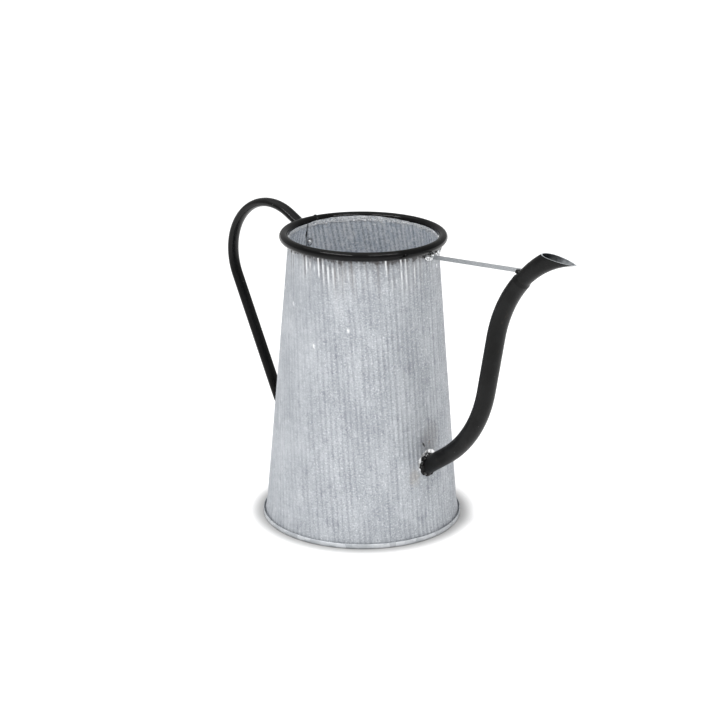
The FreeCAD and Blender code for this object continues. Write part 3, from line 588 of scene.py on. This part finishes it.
def weld_lump(made, spot, out, half_sizes, rough, seed, fit=None):
    """A rounded blob of weld; half_sizes are along out, sideways and upwards."""
    up = (Vector((0, 0, 1)) - out * out.z).normalized()
    side = out.cross(up)
    turn = Matrix((out, side, up)).transposed()
    ball = bmesh.ops.create_icosphere(made, subdivisions=3, radius=1.0)
    for vert in ball["verts"]:
        shape = 1 + rough * wobble(vert.co, 0.8, seed) + rough * 0.4 * wobble(vert.co, 0.35, seed)
        scaled = Vector(c * h for c, h in zip(vert.co * shape, half_sizes))
        point = spot + turn @ scaled
        vert.co = fit(point) if fit else point


def mesh_of(made, name):
    """The mesh of a finished bmesh, with its faces pointing out."""
    bmesh.ops.recalc_face_normals(made, faces=made.faces)
    mesh = bpy.data.meshes.new(name)
    made.to_mesh(mesh)
    made.free()
    return mesh


def tube_on_wall(start, slope, wide, deep, turn):
    """Where the line on an oval tube at this turn meets the wall's outer face."""
    way = Vector((math.cos(math.radians(slope)), 0, math.sin(math.radians(slope))))
    up = Vector((-way.z, 0, way.x))
    rim = start + Vector((0, 1, 0)) * wide * math.cos(turn) + up * deep * math.sin(turn)
    near, far = -0.03, 0.03
    for _ in range(40):
        middle = (near + far) / 2
        point = rim + way * middle
        inside = math.hypot(point.x, point.y) < float(wall_radius(point.z))
        near, far = (middle, far) if inside else (near, middle)
    return rim + way * near


def collar_mesh(name, start, slope, wide, deep, size, lobes, rough, seed):
    """A weld bead round the foot of an oval tube, laid in lobes, thickest at its upper left."""
    count = 96
    path, sizes = [], []
    for k in range(count):
        turn = 2 * math.pi * k / count
        path.append(tube_on_wall(start, slope, wide, deep, turn))
        lobe = abs(math.sin(turn * lobes / 2 + 0.6))
        heavy = 0.68 + 0.32 * math.cos(turn - math.radians(140))
        sizes.append(size * heavy * (0.72 + 0.42 * lobe))
    made = bmesh.new()
    axis = Vector((math.copysign(1, start.x), 0, 0))
    weld_bead(made, path, sizes, axis, True, rough, seed, outside_wall)
    return mesh_of(made, name)


# ---------------------------------------------------------------- the can's sheet metal
def reach_at(z):
    """Distance from the cone's tip, along the sheet, at a height."""
    return WALL_LOW_RADIUS / ROLL + (WALL_LOW_Z - z) / math.cos(LEAN)


def lip_height(degrees):
    """Height of the hand-cut top edge: wavy, and higher at the back left."""
    spot = around(0.062, degrees, 0)
    raised = 0.0016 * math.exp(-(((degrees - 142) / 36) ** 4))
    return RING_Z - 0.0004 + raised + 0.00035 * wobble(spot, 0.008, 3)


def wall_surface():
    """Grids of the outer face, its outward direction and its place on the flat sheet."""
    foot = reach_at(FOOT_Z)
    edges = [math.radians(edge - SHEET_MIDDLE) * ROLL for edge in SEAM_EDGES]
    low, high = (foot * math.sin(edge) * 0.9995 for edge in edges)
    columns = round((high - low) / RIB_PITCH * COLUMNS_A_RIB)
    across = np.linspace(low, high, columns)
    top_guess = reach_at(RING_Z)
    ends = np.empty(columns)
    for k, s in enumerate(across):
        turn = math.asin(max(-0.9999, min(0.9999, s / top_guess)))
        degrees = SHEET_MIDDLE + math.degrees(turn) / ROLL
        edge = edges[0] if s < 0 else edges[1]
        ends[k] = max(reach_at(lip_height(degrees)), s / math.sin(edge))
    rows = 40
    share = (np.arange(rows) / (rows - 1)) ** 1.35
    reach = foot - np.outer(share, foot - ends)
    across = np.broadcast_to(across, reach.shape)
    turn = math.radians(SHEET_MIDDLE) + np.arcsin(across / reach) / ROLL
    z = WALL_LOW_Z - (reach - WALL_LOW_RADIUS / ROLL) * math.cos(LEAN)
    wave = (0.5 + 0.5 * np.cos(2 * np.pi * (across - RIB_START) / RIB_PITCH)) ** 1.3
    degrees = np.degrees(turn)
    first = np.clip((SEAM_EDGES[0] + LAP_RAMP - degrees) / LAP_RAMP, 0, 1)
    last = np.clip((degrees - SEAM_EDGES[1] + LAP_RAMP) / LAP_RAMP, 0, 1)
    lap = (first**2 * (3 - 2 * first) - last**2 * (3 - 2 * last)) * SHEET * 0.6
    dents = np.empty(reach.shape)
    depth = np.empty(reach.shape)
    for index in np.ndindex(reach.shape):
        spot = around(0.075, degrees[index], z[index])
        dents[index] = 0.00022 * wobble(spot, 0.05, 11) + 0.00005 * wobble(spot, 0.007, 12)
        depth[index] = 0.80 + 0.35 * wobble(spot, 0.035, 13)
    radius = wall_radius(z) - RIB_DEPTH * depth * (1 - wave) + lap + dents - 0.0001
    away = np.stack([np.cos(turn), np.sin(turn), np.full(turn.shape, math.tan(LEAN))], -1)
    away *= math.cos(LEAN)
    outer = np.stack([radius * np.cos(turn), radius * np.sin(turn), z], -1)
    return outer, away, np.stack([across, reach], -1)


def ribbed_wall():
    """The corrugated sheet, rolled to a cone and lapped at the back."""
    outer, away, flat = wall_surface()
    rows, columns = outer.shape[:2]
    inner = outer - away * SHEET
    verts = np.concatenate([outer.reshape(-1, 3), inner.reshape(-1, 3)])
    half = rows * columns
    faces = [face[::-1] for face in grid_faces(rows, columns)]
    outer_count = len(faces)
    faces += grid_faces(rows, columns, first=half)
    inner_count = len(faces)
    border = list(range(columns))
    border += [i * columns + columns - 1 for i in range(1, rows)]
    border += [(rows - 1) * columns + j for j in range(columns - 2, -1, -1)]
    border += [i * columns for i in range(rows - 2, 0, -1)]
    for a, b in zip(border, border[1:] + border[:1]):
        faces.append((a, b, b + half, a + half))
    mesh = bpy.data.meshes.new("ribbed_wall")
    mesh.from_pydata(verts.tolist(), [], faces)
    places = np.concatenate([flat.reshape(-1, 2)] * 2)
    corners = np.empty(len(mesh.loops), np.int32)
    mesh.loops.foreach_get("vertex_index", corners)
    layer = mesh.uv_layers.new(name="sheet")
    layer.data.foreach_set("uv", places[corners].astype(np.float32).ravel())
    set_finishes(mesh, outer_count, inner_count)
    face_outwards(mesh, cut_water_hole)
    finishes = [zinc_outside(), zinc_inside(), bare_steel("cut_sheet_edge", 0.85)]
    make_piece("ribbed_wall", mesh, finishes, ["body_shell"])


def cut_water_hole(made):
    """Open the wall behind the spout and close the hole's edge between the two faces."""
    gone = []
    for face in made.faces:
        spot = face.calc_center_median()
        if spot.x > 0 and math.hypot(spot.y, spot.z - SPOUT_ROOT.z) < WATER_HOLE:
            gone.append(face)
    bmesh.ops.delete(made, geom=gone, context="FACES")
    rim = [edge for edge in made.edges if edge.is_boundary]
    for edge in rim:
        for vert in edge.verts:
            off = Vector((0, vert.co.y, vert.co.z - SPOUT_ROOT.z))
            scale = WATER_HOLE / off.length
            vert.co.y *= scale
            vert.co.z = SPOUT_ROOT.z + off.z * scale
    bmesh.ops.bridge_loops(made, edges=rim)


def pan_and_hem():
    """Base pan with a shallow pressed step and its rolled, slightly wavy hem."""
    top, under = PAN_TOP, PAN_TOP - SHEET
    skirt = HEM_RADIUS - 0.0029
    lip_radius, lip_z = HEM_RADIUS - 0.0005, HEM_HEIGHT - HEM_LIP
    outline = [(0.0, top - 0.0004), (0.030, top - 0.0003), (0.060, top), (skirt - 0.0012, top)]
    outline += [(skirt - 0.0003, top - 0.0003), (skirt, top - 0.0012), (skirt, 0.0012)]
    outline += [(HEM_RADIUS - 0.0009, 0.0010), (HEM_RADIUS - 0.0008, HEM_HEIGHT - 0.0008)]
    for k in range(7):
        turn = math.radians(180 - 30 * k)
        outline.append((lip_radius + HEM_LIP * math.cos(turn), lip_z + HEM_LIP * math.sin(turn)))
    outline += [(HEM_RADIUS - 0.0001, HEM_HEIGHT - 0.0016), (HEM_RADIUS, HEM_HEIGHT * 0.45)]
    for k in range(6):
        turn = math.radians(-18 * k)
        out, up = HEM_ROLL * math.cos(turn), HEM_ROLL * math.sin(turn)
        outline.append((HEM_RADIUS - HEM_ROLL + out, HEM_ROLL + up))
    outline += [(skirt - SHEET, 0.0), (skirt - SHEET, under - 0.001), (skirt - 0.0016, under)]
    outline += [(0.060, under), (0.030, under - 0.0003), (0.0, under - 0.0004)]

    def uneven(point):
        flat = Vector((point.x, point.y, 0))
        if flat.length > skirt + 0.0005:
            inward = 0.00010 * (wobble(flat, 0.012, 21) - 1)
            lift = 0.00022 * wobble(flat, 0.016, 22) * min(1.0, point.z / HEM_HEIGHT)
            flat *= 1 + inward / flat.length
            return Vector((flat.x, flat.y, max(0.0, point.z + lift)))
        if flat.length < skirt - 0.002:
            return Vector((point.x, point.y, point.z + 0.00035 * (wobble(flat, 0.045, 23) - 0.6)))
        return point

    mesh = turned_mesh("pan_and_hem", outline, 288, uneven)
    finish = zinc_plain("galvanised_pan", 0.66, 0.55)
    make_piece("pan_and_hem", mesh, [finish], ["base_pan"])


def seal_bead():
    """Bead of sealing solder in the corner between the pan and the wall."""
    count = 300
    path, sizes = [], []
    for k in range(count):
        degrees = 360.0 * k / count
        path.append(around(HEM_RADIUS - 0.0043, degrees, PAN_TOP + 0.0004))
        sizes.append(0.0014 * (1 + 0.18 * wobble(path[-1], 0.009, 31)))

    def inside_wall(point):
        most = float(wall_radius(point.z)) - SHEET / 2 - RIB_DEPTH
        flat = Vector((point.x, point.y, 0))
        if flat.length > most:
            flat *= most / flat.length
        return Vector((flat.x, flat.y, max(point.z, PAN_TOP - SHEET / 2)))

    made = bmesh.new()
    weld_bead(made, path, sizes, Vector((0, 0, 1)), True, 0.16, 32, inside_wall)
    finish = zinc_plain("seal_solder", 0.50, 0.8)
    make_piece("seal_bead", mesh_of(made, "seal_bead"), [finish], ["base_seal"])


def seam_spots():
    """Spot welds down the lapped seam: a low nugget with a dimple, seen inside."""
    made = bmesh.new()
    low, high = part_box("seam_spot_welds")
    top, bottom = high.z - 0.0019, low.z + 0.0019
    for k in range(SEAM_WELDS):
        z = top + (bottom - top) * k / (SEAM_WELDS - 1)
        radius = float(wall_radius(z)) - SHEET * 1.9 - RIB_DEPTH * 0.5
        spot = around(radius, SEAM_AT, z)
        out = Vector((-spot.x, -spot.y, 0)).normalized()
        weld_lump(made, spot, out, (0.0007, 0.0022, 0.0021), 0.22, 40 + k)
        weld_lump(made, spot + out * 0.0004, out, (0.0006, 0.0011, 0.0010), 0.2, 50 + k)
    mesh = mesh_of(made, "seam_spots")
    finish = bright_solder("spot_weld_metal", 0.45)
    make_piece("seam_spots", mesh, [finish], ["seam_spot_welds"])


# ---------------------------------------------------------------- welds and solder
def ring_welds(paint):
    """Tack welds under the ring, each a lump of two or three drops."""
    made = bmesh.new()
    for k, degrees in enumerate(RING_WELDS_AT):
        size = 0.0015 + 0.0004 * wobble((degrees, 0, 0), 17.0, 61)
        for drop in (-1, 0, 1):
            turn = degrees + drop * 1.5
            rise = 0.0004 * wobble((degrees, drop, 0), 1.7, 62)
            spot = around(RING_RADIUS - 0.0024, turn, RING_Z - 0.0032 + rise)
            out = Vector((spot.x, spot.y, 0)).normalized()
            half = (size, size * 1.1, size * (1.0 - 0.15 * abs(drop)))
            weld_lump(made, spot, out, half, 0.16, 70 + 3 * k + drop, outside_wall)
    mesh = mesh_of(made, "ring_welds")
    make_piece("ring_welds", mesh, [paint], ["rim_tack_welds"])


def ring_joint(paint):
    """The bead that closes the ring's butt joint, run round the tube."""
    made = bmesh.new()
    count = 40
    middle = around(RING_RADIUS, RING_JOINT_AT, RING_Z)
    out = Vector((middle.x, middle.y, 0)).normalized()
    path, sizes = [], []
    for k in range(count):
        turn = 2 * math.pi * k / count
        reach = out * math.cos(turn) + Vector((0, 0, 1)) * math.sin(turn)
        path.append(middle + reach * (RING_TUBE - 0.0005))
        sizes.append(0.0011 * (1 + 0.2 * wobble(reach, 0.6, 81)))
    axis = out.cross(Vector((0, 0, 1)))
    weld_bead(made, path, sizes, axis, True, 0.12, 82, outside_wall)
    mesh = mesh_of(made, "ring_joint")
    make_piece("ring_joint", mesh, [paint], ["rim_joint_weld"])


def tube_welds(paint):
    """Weld collars round the spout's root and both ends of the handle."""
    chipped = black_paint("chipped_weld_paint", 0.75, lumpy=0.5, chips=0.8)
    spout = (SPOUT_ROOT, SPOUT_ROOT_SLOPE, SPOUT_WIDE, SPOUT_DEEP)
    top = (HANDLE_TOP, HANDLE_TOP_SLOPE, HANDLE_WIDE, HANDLE_DEEP)
    foot = (HANDLE_FOOT, HANDLE_FOOT_SLOPE, HANDLE_WIDE, HANDLE_DEEP)
    collars = (
        ("spout_collar", spout, 0.0024, 9, chipped, "spout_root_weld"),
        ("handle_top_bead", top, 0.0017, 6, paint, "handle_top_weld"),
        ("handle_foot_bead", foot, 0.0017, 6, paint, "handle_foot_weld"),
    )
    for seed, (name, tube, size, lobes, finish, node) in enumerate(collars, 90):
        mesh = collar_mesh(name, *tube, size, lobes, 0.30, seed)
        make_piece(name, mesh, [finish], [node])


def rim_solder():
    """Crumpled solder that holds the brace's tab to the wall under the ring."""
    made = bmesh.new()
    low, high = RIM_SOLDER_SPAN
    count = 60
    path, sizes = [], []
    for k in range(count):
        share = k / (count - 1)
        degrees = low + (high - low) * share
        sag = 0.0022 * (1 - share) + 0.0008 * wobble((share, 0, 0), 0.2, 101)
        z = RING_Z - RING_TUBE - 0.0026 - sag
        path.append(around(float(wall_radius(z)) + 0.0006, degrees, z))
        swell = (1 - abs(2 * share - 1) ** 5) ** 0.5
        sizes.append(0.0032 * swell * (1 + 0.25 * wobble((share, 0, 0), 0.12, 102)) + 0.0002)
    weld_bead(made, path, sizes, Vector((0, 0, 1)), False, 0.42, 103, outside_wall)
    mesh = mesh_of(made, "rim_solder")
    finish = bright_solder("crumpled_solder", 0.16)
    make_piece("rim_solder", mesh, [finish], ["brace_rim_solder"])


def brace_weld(paint):
    """The small weld under the brace's far end, on the spout."""
    made = bmesh.new()
    low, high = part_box("brace_spout_weld")
    middle = (low + high) / 2
    half = (high - low) / 2
    out = Vector((-0.75, 0, -0.66)).normalized()
    weld_lump(made, middle, out, (half.x * 0.8, half.y, half.z * 0.75), 0.25, 111)
    mesh = mesh_of(made, "brace_weld")
    make_piece("brace_weld", mesh, [paint], ["brace_spout_weld"])


# ---------------------------------------------------------------- nozzle
def nozzle_point(slope, turn, shrink):
    """A point on the nozzle's oval section where its bend has this slope."""
    start, angle = math.radians(NOZZLE_JOINT_SLOPE), math.radians(slope)
    x = NOZZLE_JOINT.x - NOZZLE_BEND * (math.sin(angle) - math.sin(start))
    z = NOZZLE_JOINT.z - NOZZLE_BEND * (math.cos(start) - math.cos(angle))
    wide = np.interp(slope, NOZZLE_SLOPES, NOZZLE_WIDTHS) - shrink
    deep = np.interp(slope, NOZZLE_SLOPES, NOZZLE_DEPTHS) - shrink
    up = Vector((-math.sin(angle), 0, math.cos(angle)))
    return Vector((x, wide * math.cos(turn), z)) + up * deep * math.sin(turn)


def mouth_slope(turn, shrink):
    """The bend's slope at which this line of the nozzle reaches the cut mouth."""
    late, early = 10.0, 50.0
    for _ in range(40):
        slope = (late + early) / 2
        point = nozzle_point(slope, turn, shrink)
        level = MOUTH.z - math.tan(math.radians(MOUTH_TILT)) * (point.x - MOUTH.x)
        cut = level - 0.0001 + 0.00008 * wobble(point, 0.003, 121)
        late, early = (slope, early) if point.z > cut else (late, slope)
    return (late + early) / 2


def nozzle(paint):
    """The nozzle sleeve: painted outside, bare inside, with a bright cut lip."""
    rows, sides = 30, 72
    verts = []
    for shrink in (0.0, NOZZLE_WALL):
        ends = [mouth_slope(2 * math.pi * k / sides, shrink) for k in range(sides)]
        for i in range(rows):
            for k in range(sides):
                slope = NOZZLE_INNER_END + (ends[k] - NOZZLE_INNER_END) * i / (rows - 1)
                verts.append(nozzle_point(slope, 2 * math.pi * k / sides, shrink))
    mesh = sleeve_mesh("nozzle_sleeve", verts, rows, sides, finish_each=True)
    finishes = [paint, bare_steel("nozzle_bore_steel", 0.34), bare_steel("nozzle_lip_steel", 0.9)]
    make_piece("nozzle_sleeve", mesh, finishes, ["spout_nozzle"])


def nozzle_braze(paint):
    """Braze that runs smoothly from the tube's cut end down onto the nozzle."""
    rows, sides = 9, 64
    first, last = BRAZE_SLOPES
    verts = []
    for grown in (True, False):
        for i in range(rows):
            share = i / (rows - 1)
            slope = first + (last - first) * share
            fillet = 0.00080 * (1 - share) ** 1.6 - 0.00010 * share
            for k in range(sides):
                turn = 2 * math.pi * k / sides
                uneven = 0.00010 * wobble(nozzle_point(slope, turn, 0.0), 0.003, 131)
                rise = fillet + uneven * math.sin(math.pi * share)
                shrink = -max(rise, -0.00012) if grown else 0.00020
                verts.append(nozzle_point(slope, turn, shrink))
    mesh = sleeve_mesh("nozzle_braze", verts, rows, sides)
    make_piece("nozzle_braze", mesh, [paint], ["nozzle_joint_braze"])


# ---------------------------------------------------------------- CAD pieces that keep their shape
def finish_node(node, material):
    """Give a CAD node, whose shape is right, its finish."""
    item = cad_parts[node]
    if not item.material_slots:
        item.data.materials.append(material)
    for slot in item.material_slots:
        slot.link = "OBJECT"
        slot.material = material


# ---------------------------------------------------------------- studio
def white_floor():
    """White paper that reaches the horizon, with soft shade in a ring round the foot."""
    made = bmesh.new()
    bmesh.ops.create_grid(made, x_segments=8, y_segments=8, size=60.0)
    floor = bpy.data.objects.new("floor", mesh_of(made, "floor"))
    bpy.context.scene.collection.objects.link(floor)
    paper = Finish("white_paper")
    spot = paper.where()
    colour = paper.mix(paper.cloud(spot, 40.0), grey(0.87), grey(0.89))
    near = paper.step(spot.length_flat(), 104.0, 85.0)
    colour = paper.mix(near, colour, grey(0.40))
    glow = dict(emission_color=paper.mix(near, grey(1.0), grey(0.1)), emission_strength=0.38)
    floor.data.materials.append(paper.finished(base_color=colour, roughness=0.9, **glow))
    floor.location.z = -0.0002


def soft_sky():
    """A sky that brightens towards the front left."""
    sky = Finish("soft_sky", kind="worlds")
    where = sky.add("ShaderNodeTexCoord")
    brightest = Vector((0.33, -0.69, 0.50)).normalized()
    towards = {0: where, 1: brightest}
    facing = sky.add("ShaderNodeVectorMath", dict(operation="DOT_PRODUCT"), towards, output=1)
    strength = sky.add("ShaderNodeMapRange", None, {0: facing, 1: -1.0, 2: 1.0, 3: 0.38, 4: 0.88})
    light = sky.add("ShaderNodeBackground", None, {"Strength": strength})
    sky.add("ShaderNodeOutputWorld", None, {"Surface": light}, output=None)
    bpy.context.scene.world = sky.material


def lamps():
    """A wide soft sun overhead and two strip lights in front."""
    overhead = bpy.data.lights.new("overhead", "SUN")
    overhead.energy, overhead.angle = 0.68, math.radians(70)
    lamp = bpy.data.objects.new("overhead", overhead)
    lamp.rotation_euler = (math.radians(8), math.radians(-10), 0)
    bpy.context.scene.collection.objects.link(lamp)
    strips = (
        (Vector((-0.03, -0.84, 1.25)), (0.9, 0.04), 7.6),
        (Vector((0.82, -0.16, 1.25)), (0.8, 0.035), 6.6),
    )
    for number, (place, size, power) in enumerate(strips, start=1):
        data = bpy.data.lights.new(f"strip_{number}", "AREA")
        data.shape, data.size, data.size_y, data.energy = "RECTANGLE", *size, power
        strip = bpy.data.objects.new(f"strip_{number}", data)
        strip.location = place
        strip.rotation_mode = "QUATERNION"
        strip.rotation_quaternion = (Vector((0, 0, 0.2)) - place).to_track_quat("-Z", "Y")
        bpy.context.scene.collection.objects.link(strip)


def aim_camera():
    """The camera, a little above the rim, with the spout to the right."""
    data = bpy.data.cameras.new("view")
    data.sensor_width, data.lens = 36.0, CAMERA_LENS
    data.shift_x, data.shift_y = CAMERA_SHIFT
    camera = bpy.data.objects.new("view", data)
    bpy.context.scene.collection.objects.link(camera)
    turn, rise = math.radians(CAMERA_TURN), math.radians(CAMERA_RISE)
    level = Vector((math.sin(turn), -math.cos(turn), 0)) * math.cos(rise)
    back = level + Vector((0, 0, math.sin(rise)))
    camera.location = CAMERA_AIM + back * CAMERA_DISTANCE
    camera.rotation_mode = "QUATERNION"
    upright = (-back).to_track_quat("-Z", "Y")
    roll = Quaternion((0, 0, 1), math.radians(CAMERA_ROLL))
    camera.rotation_quaternion = upright @ roll
    bpy.context.scene.camera = camera
    bpy.context.scene.view_settings.view_transform = "Standard"


def main():
    aim_camera()
    white_floor()
    soft_sky()
    lamps()
    ring_paint = black_paint("ring_paint", 1.05, shine=0.15)
    tube_paint = black_paint("tube_paint", 0.45, rust=0.15)
    handle_paint = black_paint("handle_paint", 0.82)
    weld_paint = black_paint("weld_paint", 0.75, rust=0.2, lumpy=0.5)
    ribbed_wall()
    pan_and_hem()
    seal_bead()
    seam_spots()
    ring_welds(weld_paint)
    ring_joint(weld_paint)
    tube_welds(weld_paint)
    rim_solder()
    brace_weld(weld_paint)
    nozzle(tube_paint)
    nozzle_braze(tube_paint)
    finish_node("rim_ring", ring_paint)
    finish_node("handle_tube", handle_paint)
    finish_node("spout_tube", tube_paint)
    finish_node("brace_strap", zinc_plain("brace_zinc", 0.37, 0.1, mottle=0.35))


main()
